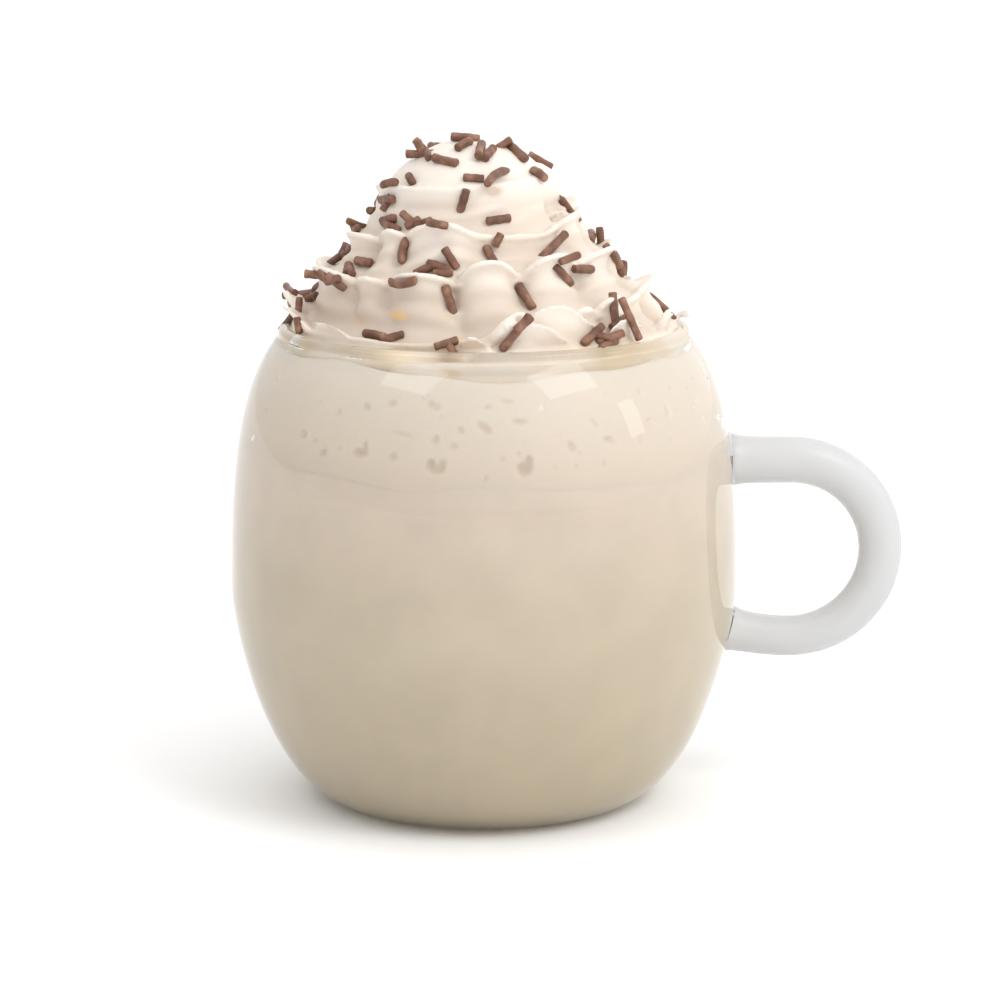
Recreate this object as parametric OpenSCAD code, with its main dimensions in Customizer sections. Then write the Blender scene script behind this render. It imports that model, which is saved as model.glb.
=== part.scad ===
// Hot chocolate in a barrel-shaped glass mug: a one-piece blown glass with a rod handle,
// the drink, the froth that stands on it and a piped swirl of whipped cream.
// Millimetres, +Z up, origin at the centre of the underside; the handle points along +X.

/* [Glass] */
// Height of the mug to the top of its lip
mug_h = 90.5; // [75:0.5:112]
// Outer radius of the lip
rim_r = 38.5; // [32:0.5:43]
// Outer radius of the belly, the widest part
belly_r = 48; // [44:0.5:58]
// Height of the lower end of the belly
belly_z = 40; // [32:0.5:50]
// Radius of the flat underside
foot_r = 26; // [20:0.5:32]
// Thickness of the side wall
wall = 2.0; // [1.2:0.1:3]
// Thickness of the glass under the drink
base_wall = 3.0; // [2:0.1:5]
// Radius of the fire-polished bead round the lip
lip_r = 1.4; // [1:0.1:2]

/* [Glass curves] */
// How far the foot's curve runs outward before it turns up
foot_reach = 15.5; // [8:0.5:18]
// How straight the wall runs below the belly
belly_drop = 5; // [2:0.5:9]
// How straight the wall runs above the belly
belly_rise = 30; // [15:0.5:34]
// Length of the curve that leans in to the lip
shoulder_len = 10; // [5:0.5:14]
// Lean of the wall at the lip, in degrees from upright
lip_lean = 40; // [20:1:50]

/* [Handle] */
// Radius of the glass rod
rod_r = 4.2; // [3:0.1:5]
// Radius of the handle's bend, to the rod's centre
bend_r = 17.1; // [13:0.1:20]
// Distance from the belly to the centre of the bend
bend_out = 10.3; // [8:0.1:16]
// Height of the centre of the bend
bend_z = 47.3; // [40:0.1:52]
// Radius of the flare where the upper end is welded to the wall
flare_r = 5.4; // [4.6:0.1:6]
// Radius of the slow bend that lifts the lower end to the wall
tail_bend_r = 45; // [30:1:80]

/* [Drink] */
// Thickness of the froth
froth_t = 17.5; // [10:0.5:24]
// Gap from the top of the lip down to the surface of the froth
headspace = 5.5; // [4:0.5:10]

/* [Cream] */
// Height of the cream above the lip
cream_h = 34.5; // [24:0.5:44]
// Gap between the cream and the bead of the lip
cream_gap = 0.4; // [0.3:0.1:2]
// How far the lowest ruffle stands out past the middle of the lip
cream_over = 0.4; // [0:0.1:1.2]
// Gap between the froth and the widest part of the lowest ruffle
ruffle_z = 9.5; // [8:0.5:14]
// Rise of the piped rope for each turn
rope_pitch = 7; // [5:0.5:9]
// Depth of the groove between two turns
groove = 4.5; // [1:0.25:5]
// Number of ruffles in a turn
ruffles = 11; // [6:1:16]
// Depth of the notch between two ruffles
notch = 2.4; // [0:0.1:2.5]
// Fullness of the mound, from 0.5 for a dome to 1 for a cone
mound_power = 0.62; // [0.5:0.01:1]

/* [Hidden] */

eps = 0.01;
curve_steps = 22;

// Centre of the lip's bead, on the middle of the wall
lip_mid_r = rim_r - lip_r;
lip_z = mug_h - lip_r;

// Levels inside the mug
surface_z = mug_h - headspace;
froth_z = surface_z - froth_t;

// Handle: the centre of its bend, where its upper end meets the wall, and the turn of its lower end
bend_x = belly_r + bend_out;
weld_x = belly_r - wall;
tail_turn = asin((bend_x - weld_x + rod_r) / tail_bend_r);

// Cream: the widest it may be inside the lip, its top and its widest ruffle
mouth_r = lip_mid_r - lip_r - cream_gap;
cream_top = mug_h + cream_h;
wide_z = surface_z + ruffle_z;
wide_r = lip_mid_r + cream_over;

// Cream: height over which it spreads out above the lip, and the radius of its blunt tip
spread_h = 2;
tip_r = 1;

// Cream: how high on a turn its crest lies, how sharp the crest is and how narrow the notches are
crest_lean = 1.4;
crest_edge = 0.8;
notch_edge = 6;

// Cream: points round each ring, and rings from the froth to the tip
cream_cols = 80;
cream_rows = 48;

// Cubic curve through p[0] and p[3], with p[1] and p[2] as its handles
function bezier(p, t) =
    pow(1 - t, 3) * p[0] + 3 * pow(1 - t, 2) * t * p[1] + 3 * (1 - t) * t * t * p[2] + pow(t, 3) * p[3];

function bezier_slope(p, t) =
    pow(1 - t, 2) * (p[1] - p[0]) + 2 * (1 - t) * t * (p[2] - p[1]) + t * t * (p[3] - p[2]);

// Direction into the glass, square to the curve
function inward(p, t) = let (d = bezier_slope(p, t)) [-d.y, d.x] / norm(d);

function smooth(x) = let (c = min(1, max(0, x))) c * c * (3 - 2 * c);

// Outer wall in two stretches: foot to belly, and belly to lip
lower = [[foot_r, 0], [foot_r + foot_reach, 0], [belly_r, belly_z - belly_drop], [belly_r, belly_z]];
wall_top = [lip_mid_r + wall / 2, lip_z];
upper = [[belly_r, belly_z],
         [belly_r, belly_z + belly_rise],
         wall_top + shoulder_len * [sin(lip_lean), -cos(lip_lean)],
         wall_top];

outer_wall = concat(
    [for (i = [0 : curve_steps - 1]) bezier(lower, i / curve_steps)],
    [for (i = [0 : curve_steps]) bezier(upper, i / curve_steps)]);

// The inner wall follows the outer one, thicker under the drink
inner_wall = concat(
    [for (i = [0 : curve_steps - 1])
        let (t = i / curve_steps)
        bezier(lower, t) + (wall + (base_wall - wall) * pow(1 - t, 2)) * inward(lower, t)],
    [for (i = [0 : curve_steps - 1])
        let (t = i / curve_steps)
        bezier(upper, t) + wall * inward(upper, t)],
    [[lip_mid_r - wall / 2, lip_z]]);

module outside() {
    rotate_extrude() polygon(concat([[0, 0]], outer_wall, [[0, lip_z]]));
}

// What the mug can hold, up to the middle of the lip's bead
module inside() {
    rotate_extrude() polygon(concat([[0, base_wall]], inner_wall, [[0, lip_z]]));
}

// A slab of the inside between two levels
module level(low, high) {
    intersection() {
        inside();
        translate([0, 0, low]) cylinder(r = belly_r, h = high - low);
    }
}

// Part of a ring of rod in the XZ plane, from its lowest point round towards +X
module rod_bend(r, turn) {
    rotate([90, 0, 0]) rotate([0, 0, -90]) rotate_extrude(angle = turn) translate([r, 0]) circle(r = rod_r);
}

module handle() {
    translate([bend_x, 0, bend_z]) rod_bend(bend_r, 180);
    // Upper end, flared on its way to the wall
    translate([weld_x, 0, bend_z + bend_r])
        rotate([0, 90, 0]) cylinder(r1 = flare_r, r2 = rod_r, h = bend_x - weld_x);
    // Lower end, rising slowly to the wall
    translate([bend_x, 0, bend_z - bend_r + tail_bend_r]) mirror([1, 0, 0]) rod_bend(tail_bend_r, tail_turn);
}

module mug() {
    color("gainsboro", 0.4) union() {
        difference() {
            union() {
                outside();
                handle();
            }
            inside();
        }
        rotate_extrude() translate([lip_mid_r, lip_z]) circle(r = lip_r);
    }
}

module drink() {
    color("wheat") level(base_wall - eps, froth_z);
}

module froth() {
    color("antiquewhite") level(froth_z, surface_z);
}

// Radius of the mound at a height, before its turns and ruffles
function mound_r(z) =
    z < wide_z
        ? mouth_r - groove / 2 + (wide_r - mouth_r + groove / 2) * smooth((z - surface_z) / ruffle_z)
        : wide_r * pow(1 - (z - wide_z) / (cream_top - wide_z), mound_power);

// The rope's turns below a point, which fall by one on the way round as the rope climbs
function turns_below(a, z) = (z - wide_z) / rope_pitch - a / 360 + 0.5;

// Share of the way up the turn that a point is on
function turn_share(a, z) = let (p = turns_below(a, z)) p - floor(p);

// 1 on the crest of a turn and 0 in the groove above it, with the crest high up on the turn
function crest(a, z) = pow(sin(180 * pow(turn_share(a, z), crest_lean)), crest_edge);

// 1 in the notch between two ruffles. Half a ruffle more per turn, and a quarter wave for each turn
// below, put each turn's notches between those of the turn under it
function between_ruffles(a, z) =
    pow(abs(cos((ruffles + 0.5) * a / 2 + 90 * floor(turns_below(a, z)))), notch_edge);

// How far turns and ruffles cut into the mound, fading out at the peak
function relief(a, z) =
    (groove * (1 - crest(a, z)) + notch * crest(a, z) * between_ruffles(a, z))
    * smooth((cream_top - z) / (2 * rope_pitch));

// Where the cream stands inside the lip it stays clear of the bead
function mouth_limit(z) = mouth_r + (wide_r - mouth_r) * smooth((z - mug_h - cream_gap) / spread_h);

function cream_radius(a, z) = min(mouth_limit(z), mound_r(z) - relief(a, z));

module cream() {
    rows = [for (i = [0 : cream_rows - 1]) surface_z + (cream_top - surface_z) * sin(90 * i / cream_rows)];
    rings = [for (z = rows, j = [0 : cream_cols - 1])
        let (a = 360 * j / cream_cols, r = max(tip_r, cream_radius(a, z)))
        [r * cos(a), r * sin(a), z]];
    last = cream_rows * cream_cols;
    points = concat(rings, [[0, 0, surface_z], [0, 0, cream_top]]);
    side = [for (i = [0 : cream_rows - 2], j = [0 : cream_cols - 1])
        let (k = (j + 1) % cream_cols, low = i * cream_cols, high = low + cream_cols)
        each [[low + j, high + k, low + k], [low + j, high + j, high + k]]];
    underside = [for (j = [0 : cream_cols - 1]) [last, j, (j + 1) % cream_cols]];
    tip = [for (j = [0 : cream_cols - 1])
        let (ring = last - cream_cols)
        [last + 1, ring + (j + 1) % cream_cols, ring + j]];
    color("ivory") polyhedron(points = points, faces = concat(side, underside, tip));
}

mug();
drink();
froth();
cream();
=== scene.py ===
"""Looks of the hot chocolate: a glass mug, the drink and froth behind the glass, a piped swirl of
whipped cream and chocolate sprinkles. Shapes are worked out in millimetres and stored in metres."""

import math

import bmesh
import bpy
import numpy as np
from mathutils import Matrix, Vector
from mathutils.bvhtree import BVHTree


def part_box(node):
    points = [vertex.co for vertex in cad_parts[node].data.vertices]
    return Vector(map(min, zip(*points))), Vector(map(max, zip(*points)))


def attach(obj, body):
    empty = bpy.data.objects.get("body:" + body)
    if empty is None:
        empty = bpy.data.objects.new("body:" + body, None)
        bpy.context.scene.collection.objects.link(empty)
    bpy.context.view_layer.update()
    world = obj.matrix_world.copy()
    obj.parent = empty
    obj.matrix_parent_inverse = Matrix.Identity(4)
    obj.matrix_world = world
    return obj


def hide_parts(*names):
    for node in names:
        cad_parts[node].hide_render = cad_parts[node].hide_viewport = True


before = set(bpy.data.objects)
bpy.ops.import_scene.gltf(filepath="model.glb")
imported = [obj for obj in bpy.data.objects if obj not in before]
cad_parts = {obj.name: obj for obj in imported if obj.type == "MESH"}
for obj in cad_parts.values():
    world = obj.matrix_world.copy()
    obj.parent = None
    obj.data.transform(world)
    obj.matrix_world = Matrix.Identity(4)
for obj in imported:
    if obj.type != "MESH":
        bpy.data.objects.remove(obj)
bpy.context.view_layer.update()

MM = 0.001
TURN = 2 * math.pi
rng = np.random.default_rng(11)


def box_mm(node):
    """Lowest and highest corner of a CAD node, in millimetres."""
    return [np.array(corner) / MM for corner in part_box(node)]


# ---------------------------------------------------------------- sizes from the frame

mug_low, mug_high = box_mm("mug")
drink_low, drink_high = box_mm("drink")
froth_low, froth_high = box_mm("froth")
_, cream_high = box_mm("cream")

MUG_H = round(mug_high[2], 1)
BELLY_R = round(-mug_low[0], 1)
BASE_WALL = round(drink_low[2], 1)
WALL = round(BELLY_R - drink_high[0], 1)
FROTH_Z = round(froth_low[2], 1)
SURFACE_Z = round(froth_high[2], 1)
CREAM_TOP = round(cream_high[2], 1)

# ---------------------------------------------------------------- the glass, as in the CAD

# The wall's outline
BELLY_Z = 40.0
FOOT_R = 26.0
FOOT_REACH = 15.5
BELLY_DROP = 5.0
BELLY_RISE = 30.0
SHOULDER_LEN = 10.0
LIP_LEAN = math.radians(40)
RIM_R = 38.5
LIP_R = 1.4
LIP_MID_R = RIM_R - LIP_R
LIP_Z = MUG_H - LIP_R
CURVE_STEPS = 56

# Handle: the bend's radius, how far outside the belly its centre lies, the centre, and the radius of
# the slow bend that lifts the lower end
BEND_R = 17.1
BEND_OUT = 10.3
BEND_X = BELLY_R + BEND_OUT
BEND_Z = 47.3
TAIL_BEND_R = 45.0

# How far what fills the mug reaches into the glass
INTO_GLASS = 0.06

# The camera: its distance in metres, its angle above the table, the height that it looks at, its
# lens in mm on a 36 mm frame and how far the frame is shifted
CAMERA_AWAY = 0.600
CAMERA_LIFT = math.radians(11.3)
CAMERA_AIM = 0.0566
CAMERA_LENS = 113.85
CAMERA_SHIFT = 0.0162

WALL_TOP = np.array([LIP_MID_R + WALL / 2, LIP_Z])
LOWER = np.array(
    [[FOOT_R, 0], [FOOT_R + FOOT_REACH, 0], [BELLY_R, BELLY_Z - BELLY_DROP], [BELLY_R, BELLY_Z]]
)
UPPER = np.array(
    [
        [BELLY_R, BELLY_Z],
        [BELLY_R, BELLY_Z + BELLY_RISE],
        WALL_TOP + SHOULDER_LEN * np.array([math.sin(LIP_LEAN), -math.cos(LIP_LEAN)]),
        WALL_TOP,
    ]
)


def bezier(p, t):
    """Points of the cubic curve with corners p at the shares t."""
    t = np.asarray(t, float)[:, None]
    return (1 - t) ** 3 * p[0] + 3 * (1 - t) ** 2 * t * p[1] + 3 * (1 - t) * t**2 * p[2] + t**3 * p[3]


def inward(p, t):
    """Unit directions into the glass, square to the curve."""
    t = np.asarray(t, float)[:, None]
    d = (1 - t) ** 2 * (p[1] - p[0]) + 2 * (1 - t) * t * (p[2] - p[1]) + t**2 * (p[3] - p[2])
    return np.stack([-d[:, 1], d[:, 0]], 1) / np.linalg.norm(d, axis=1)[:, None]


def wall_curves():
    """Outer and inner wall, from the foot to the middle of the lip's bead."""
    t = np.arange(CURVE_STEPS) / CURVE_STEPS
    end = np.append(t, 1.0)
    outer = np.vstack([bezier(LOWER, t), bezier(UPPER, end)])
    thick = WALL + (BASE_WALL - WALL) * (1 - t) ** 2
    low = bezier(LOWER, t) + thick[:, None] * inward(LOWER, t)
    high = bezier(UPPER, t) + WALL * inward(UPPER, t)
    inner = np.vstack([low, high, [[LIP_MID_R - WALL / 2, LIP_Z]]])
    return outer, inner


OUTER, INNER = wall_curves()


def inner_radius(z):
    """Radius of the mug's inside at a height."""
    return np.interp(z, INNER[:, 1], INNER[:, 0])


def camera_place():
    """Where the camera stands, in metres."""
    away, lift = CAMERA_AWAY, CAMERA_LIFT
    return Vector((0, -away * math.cos(lift), CAMERA_AIM + away * math.sin(lift)))


def smooth(x):
    """0 below 0, 1 above 1, and an even slope between."""
    x = np.clip(x, 0, 1)
    return x * x * (3 - 2 * x)


def waves(x, *terms):
    """The sum of sine waves, each given as (height, radians for each unit of x, phase)."""
    return sum(high * np.sin(pace * x + phase) for high, pace, phase in terms)


def angles(sides):
    """Directions of the points of a ring, in radians."""
    return TURN * np.arange(sides) / sides


def angle_from(angle, side):
    """How far an angle lies from a side, given in degrees to the right of the front, in radians."""
    return (angle + math.pi / 2 - math.radians(side) + math.pi) % TURN - math.pi


# ---------------------------------------------------------------- meshes


def mesh_object(name, points, faces):
    """An object from points in millimetres. Its faces are smooth and point outward."""
    mesh = bpy.data.meshes.new(name)
    mesh.from_pydata((np.asarray(points, float) * MM).tolist(), [], [list(map(int, f)) for f in faces])
    bm = bmesh.new()
    bm.from_mesh(mesh)
    bmesh.ops.recalc_face_normals(bm, faces=bm.faces)
    bm.to_mesh(mesh)
    bm.free()
    mesh.shade_smooth()
    thing = bpy.data.objects.new(name, mesh)
    bpy.context.scene.collection.objects.link(thing)
    return thing


def closed_tube(rings, sides):
    """Faces of a tube of rings of points. Two points that follow the last ring close its ends."""
    i, j = np.meshgrid(np.arange(rings - 1), np.arange(sides), indexing="ij")
    k = (j + 1) % sides
    a, b = i * sides, (i + 1) * sides
    faces = np.stack([a + j, a + k, b + k, b + j], -1).reshape(-1, 4).tolist()
    first_end = rings * sides
    last_ring = first_end - sides
    for j in range(sides):
        k = (j + 1) % sides
        faces.append([first_end, k, j])
        faces.append([first_end + 1, last_ring + j, last_ring + k])
    return faces


def turned(radius, height, low_pole, high_pole):
    """Points and faces of a solid turned round Z. Row i, column j lies at radius[i, j], height[i, j]."""
    rings, sides = radius.shape
    angle = angles(sides)
    points = np.stack([radius * np.cos(angle), radius * np.sin(angle), height], -1).reshape(-1, 3)
    points = np.vstack([points, [[0, 0, low_pole], [0, 0, high_pole]]])
    return points, closed_tube(rings, sides)


def applied(thing):
    """Swaps an object's mesh for the one that its modifiers make."""
    graph = bpy.context.evaluated_depsgraph_get()
    made = bpy.data.meshes.new_from_object(thing.evaluated_get(graph))
    thing.modifiers.clear()
    thing.data = made
    made.shade_smooth()
    return thing


def coordinates(thing):
    """Vertex places in millimetres, one row each."""
    co = np.zeros(len(thing.data.vertices) * 3, np.float32)
    thing.data.vertices.foreach_get("co", co)
    return co.reshape(-1, 3).astype(float) / MM


def set_coordinates(thing, points):
    """Moves the vertices to places in millimetres."""
    thing.data.vertices.foreach_set("co", (points * MM).astype(np.float32).ravel())
    thing.data.update()


def point_value(thing, name, values):
    """Stores one number for each vertex, for a material to read."""
    attribute = thing.data.attributes.new(name, "FLOAT", "POINT")
    attribute.data.foreach_set("value", np.asarray(values, np.float32))


def hand_over(thing, slot, *nodes):
    """Rides on the mug's one body and stands for CAD nodes. Its slot is not used."""
    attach(thing, "root")
    if nodes:
        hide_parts(*nodes)
    return thing


# ---------------------------------------------------------------- materials


class Shader:
    """A Principled material and short ways to add nodes to it."""

    def __init__(self, name, **sockets):
        self.material = bpy.data.materials.new(name)
        self.material.use_nodes = True
        self.tree = self.material.node_tree
        self.main = self.tree.nodes["Principled BSDF"]
        for key, value in sockets.items():
            self.main.inputs[key.replace("_", " ")].default_value = value

    def add(self, kind, **settings):
        """A new node, with its inputs and settings given by name."""
        node = self.tree.nodes.new(kind)
        for key, value in settings.items():
            if key in node.inputs:
                node.inputs[key].default_value = value
            else:
                setattr(node, key, value)
        return node

    def link(self, source, target):
        """Joins an output to an input."""
        self.tree.links.new(source, target)

    def noise(self, scale, detail):
        """Noise in the object's own metres."""
        place = self.add("ShaderNodeTexCoord")
        node = self.add("ShaderNodeTexNoise", Scale=scale, Detail=detail)
        self.link(place.outputs["Object"], node.inputs["Vector"])
        return node.outputs["Fac"]

    def ramp(self, source, stops):
        """Colours between stops, given as (place, colour)."""
        node = self.add("ShaderNodeValToRGB")
        elements = node.color_ramp.elements
        while len(elements) < len(stops):
            elements.new(1.0)
        for element, (place, colour) in zip(elements, stops):
            element.position = place
            element.color = (*colour, 1)
        self.link(source, node.inputs["Fac"])
        return node.outputs["Color"]

    def height(self, low, high):
        """0 at height low and 1 at height high, both in millimetres."""
        place = self.add("ShaderNodeTexCoord")
        split = self.add("ShaderNodeSeparateXYZ")
        self.link(place.outputs["Object"], split.inputs["Vector"])
        span = self.add("ShaderNodeMapRange")
        span.inputs["From Min"].default_value = low * MM
        span.inputs["From Max"].default_value = high * MM
        self.link(split.outputs["Z"], span.inputs["Value"])
        return span.outputs["Result"]

    def mix(self, share, one, two, blend="MIX"):
        """Colour one, and two where share is 1. Each is a colour or an output."""
        node = self.add("ShaderNodeMix", data_type="RGBA", blend_type=blend)
        for value, socket in ((share, node.inputs[0]), (one, node.inputs[6]), (two, node.inputs[7])):
            if isinstance(value, (int, float)):
                socket.default_value = value
            elif isinstance(value, tuple):
                socket.default_value = (*value, 1)
            else:
                self.link(value, socket)
        return node.outputs[2]

    def bump(self, source, strength, distance):
        """Bumps over the whole surface, with their distance in millimetres."""
        node = self.add("ShaderNodeBump", Strength=strength, Distance=distance * MM)
        self.link(source, node.inputs["Height"])
        self.link(node.outputs["Normal"], self.main.inputs["Normal"])


def srgb(red, green, blue):
    """A colour given as 0 to 255 on screen, as the shader wants it."""
    return tuple(((c / 255 + 0.055) / 1.055) ** 2.4 for c in (red, green, blue))


def glass_material():
    """Clear glass with the faint unevenness of blown work."""
    shader = Shader(
        "clear_glass",
        Base_Color=(0.985, 0.99, 0.99, 1),
        Roughness=0.01,
        IOR=1.47,
        Transmission_Weight=1.0,
    )
    shader.bump(shader.noise(scale=45, detail=2.0), strength=0.02, distance=0.6)
    return shader.material


def handle_material():
    """The handle's glass: slightly milky, and grey as painted shade for the darker surroundings seen through
    it.
    """
    shader = Shader(
        "handle_glass",
        # Painted shade: the grey stands in for the darker surroundings seen through the clear glass
        Base_Color=(0.67, 0.67, 0.67, 1),
        Roughness=0.22,
        IOR=1.4,
        Transmission_Weight=0.35,
    )
    shader.bump(shader.noise(scale=60, detail=2.0), strength=0.05, distance=0.6)
    return shader.material


def milky(name, roughness, weight, scale, spread):
    """A material that light goes into: how much, how deep in metres, and how far each colour spreads."""
    shader = Shader(name, Roughness=roughness, Subsurface_Weight=weight, Subsurface_Scale=scale)
    shader.main.inputs["Subsurface Radius"].default_value = spread
    return shader


def drink_material():
    """Pale and milky, darker and yellower towards the foot, partly its own colour and partly painted shade
    where less light reaches, and slightly mottled.
    """
    shader = milky("white_hot_chocolate", 0.4, 0.3, 0.002, (1.0, 0.72, 0.5))
    # Partly painted shade: darker and yellower low down, where less light reaches, and partly the drink's own
    # colour
    depth = shader.ramp(
        shader.height(0, FROTH_Z),
        [
            (0.0, srgb(224, 208, 178)),
            (0.35, srgb(228, 213, 186)),
            (0.7, srgb(233, 219, 195)),
            (0.9, srgb(241, 226, 207)),
            (1.0, srgb(246, 231, 214)),
        ],
    )
    mottle = shader.ramp(
        shader.noise(scale=90, detail=4.0),
        [(0.35, (0.94, 0.94, 0.94)), (0.65, (1, 1, 1))],
    )
    shader.link(shader.mix(1.0, depth, mottle, "MULTIPLY"), shader.main.inputs["Base Color"])
    return shader.material


def froth_material():
    """Like the drink but paler towards its top, partly its own colour and partly painted light from above,
    and darker in its bubbles, which is painted shade.
    """
    shader = milky("froth", 0.4, 0.3, 0.002, (1.0, 0.72, 0.5))
    # Partly painted light: paler towards the top, where more light falls, and partly the froth's own colour
    depth = shader.ramp(
        shader.height(FROTH_Z, SURFACE_Z),
        [(0.0, srgb(241, 226, 208)), (0.3, srgb(246, 232, 215)), (1.0, srgb(250, 237, 222))],
    )
    # Painted shade: darker in the bubbles, the deeper the darker
    bubble_shade = shader.add("ShaderNodeAttribute", attribute_name="bubble_shade")
    shaded = shader.mix(bubble_shade.outputs["Fac"], depth, srgb(227, 206, 181))
    shader.link(shaded, shader.main.inputs["Base Color"])
    shader.bump(shader.noise(scale=900, detail=3.0), strength=0.25, distance=0.15)
    return shader.material


def cream_material():
    """Off-white on the lips, browner in the hollows, which is painted shade, and yellow in the deepest ones.
    """
    shader = milky("whipped_cream", 0.42, 0.15, 0.003, (1.0, 0.72, 0.48))
    hollow = shader.add("ShaderNodeAttribute", attribute_name="hollow")
    # Painted shade: darker and browner the deeper a point lies behind the lips
    cove_shade = shader.ramp(
        hollow.outputs["Fac"],
        [
            (0.0, srgb(229, 219, 208)),
            (0.18, srgb(221, 208, 194)),
            (0.42, srgb(203, 187, 171)),
            (1.0, srgb(224, 190, 136)),
        ],
    )
    # Behind the glass it is wet with froth and brighter, with yellow patches
    patchy = shader.ramp(
        shader.noise(scale=60, detail=2.0),
        [(0.42, srgb(246, 233, 216)), (0.6, srgb(235, 215, 182))],
    )
    deepest = shader.ramp(hollow.outputs["Fac"], [(0.3, srgb(0, 0, 0)), (1.0, srgb(255, 255, 255))])
    wet = shader.mix(deepest, patchy, srgb(238, 202, 146))
    tone = shader.mix(shader.height(MUG_H + 0.5, MUG_H - 1.5), cove_shade, wet)
    shader.link(tone, shader.main.inputs["Base Color"])
    shader.bump(shader.noise(scale=700, detail=4.0), strength=0.12, distance=0.2)
    return shader.material


def sprinkle_material():
    """Milk chocolate, mottled and grainy."""
    shader = Shader("milk_chocolate", Roughness=0.45)
    tone = shader.ramp(
        shader.noise(scale=420, detail=3.0),
        [(0.3, srgb(90, 58, 42)), (0.52, srgb(118, 81, 62)), (0.72, srgb(152, 112, 90))],
    )
    shader.link(tone, shader.main.inputs["Base Color"])
    shader.bump(shader.noise(scale=1300, detail=4.0), strength=0.5, distance=0.25)
    return shader.material


# ---------------------------------------------------------------- mug

# Points round the mug, and along its lip's bead
MUG_SIDES = 256
BEAD_STEPS = 22

# Points round the rod, along each of its ends and along its bend
ROD_SIDES = 40
END_STEPS = 16
BEND_STEPS = 60

# The rod's radius at shares of its length, from the lower weld to the upper one
ROD_SHARE = [0, 0.2, 0.5, 0.8, 1]
ROD_RADIUS = [3.85, 3.85, 4.1, 4.4, 4.4]

# How much the rod flares at its lower and upper weld, and the length over which the flare dies away
FLARE_LOW = 1.1
FLARE_HIGH = 1.3
FLARE_LENGTH = 1.6


def mug_body():
    """The blown glass without its handle: outside, over the bead, and down the inside."""
    middle = np.array([LIP_MID_R, LIP_Z])
    outer = OUTER[np.linalg.norm(OUTER - middle, axis=1) > LIP_R]
    inner = INNER[np.linalg.norm(INNER - middle, axis=1) > LIP_R]
    enter, leave = outer[-1] - middle, inner[-1] - middle
    first = math.atan2(enter[1], enter[0])
    last = math.atan2(leave[1], leave[0]) % TURN
    sweep = np.linspace(first, last, BEAD_STEPS)[1:-1]
    bead = middle + LIP_R * np.stack([np.cos(sweep), np.sin(sweep)], 1)
    foot = [[FOOT_R * share, 0] for share in (0.25, 0.5, 0.75)]
    base = [[INNER[0, 0] * share, BASE_WALL] for share in (0.75, 0.5, 0.25)]
    profile = np.vstack([foot, outer, bead, inner[::-1], base])
    radius, height = (np.repeat(profile[:, [k]], MUG_SIDES, 1) for k in (0, 1))
    return mesh_object("glass_mug", *turned(radius, height, 0, BASE_WALL))


def handle_rod():
    """The solid rod of the handle, from one spot in the glass wall to the other."""
    # Both ends lie in the thickness of the glass wall
    weld_x = BELLY_R - WALL - 0.1
    tail = math.asin((BEND_X - weld_x) / TAIL_BEND_R)
    tail_angle = np.linspace(-tail, 0, END_STEPS)
    tail_x = BEND_X + TAIL_BEND_R * np.sin(tail_angle)
    tail_z = BEND_Z - BEND_R + TAIL_BEND_R * (1 - np.cos(tail_angle))
    low = np.stack([tail_x, tail_z], 1)
    bend_angle = np.linspace(-math.pi / 2, math.pi / 2, BEND_STEPS)[1:-1]
    bend = np.stack([BEND_X + BEND_R * np.cos(bend_angle), BEND_Z + BEND_R * np.sin(bend_angle)], 1)
    top_x = np.linspace(BEND_X, weld_x, END_STEPS)
    top = np.stack([top_x, np.full(END_STEPS, BEND_Z + BEND_R)], 1)
    path = np.vstack([low, bend, top])
    along = np.append(0, np.cumsum(np.linalg.norm(np.diff(path, axis=0), axis=1)))
    share = along / along[-1]
    thick = np.interp(share, ROD_SHARE, ROD_RADIUS)
    flare = FLARE_LOW * np.exp(-along / FLARE_LENGTH)
    flare = flare + FLARE_HIGH * np.exp(-(along[-1] - along) / FLARE_LENGTH)
    tangent = np.gradient(path, axis=0)
    tangent /= np.linalg.norm(tangent, axis=1)[:, None]
    angle = angles(ROD_SIDES)
    rings = []
    for centre, (dx, dz), radius in zip(path, tangent, thick + flare):
        across = radius * np.cos(angle)
        side = radius * np.sin(angle)
        rings.append(np.stack([centre[0] - dz * across, side, centre[1] + dx * across], 1))
    points = np.vstack([*rings, [[path[0, 0], 0, path[0, 1]], [path[-1, 0], 0, path[-1, 1]]]])
    return mesh_object("handle_rod", points, closed_tube(len(path), ROD_SIDES))


def mug():
    """Body and handle melted into one piece of glass."""
    body, rod = mug_body(), handle_rod()
    weld = body.modifiers.new("weld", "BOOLEAN")
    weld.operation = "UNION"
    weld.solver = "EXACT"
    weld.object = rod
    applied(body)
    bpy.data.objects.remove(rod)
    body.data.materials.clear()
    body.data.materials.append(glass_material())
    body.data.materials.append(handle_material())
    # The handle's faces are those at its side that stand clear of the wall
    handle_side, clear = 0.8 * BELLY_R, 0.12
    for face in body.data.polygons:
        place = face.center / MM
        wall_r = np.interp(place.z, OUTER[:, 1], OUTER[:, 0])
        off_wall = math.hypot(place.x, place.y) > wall_r + clear
        face.material_index = int(place.x > handle_side and off_wall)
    return hand_over(body, "glass", "mug")


# ---------------------------------------------------------------- drink and froth

# Points round the drink and the froth, and rows of them up the drink's wavy top and the froth
DRINK_SIDES = 192
FROTH_SIDES = 720
DRINK_ROWS = 24
FROTH_ROWS = 52

# How far drink and froth reach past the level where they meet, the height over which they pass each
# other there, and how far the one in front stands out
OVERLAP = 1.5
PASS_H = 0.6
PASS_OUT = 0.02

# Below this height the drink follows the glass's own points
WAVY_FROM = FROTH_Z - 4

# How many small bubbles lie all round, and how many larger ones away from the front
SMALL_BUBBLES = 150
LARGE_BUBBLES = 12

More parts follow.
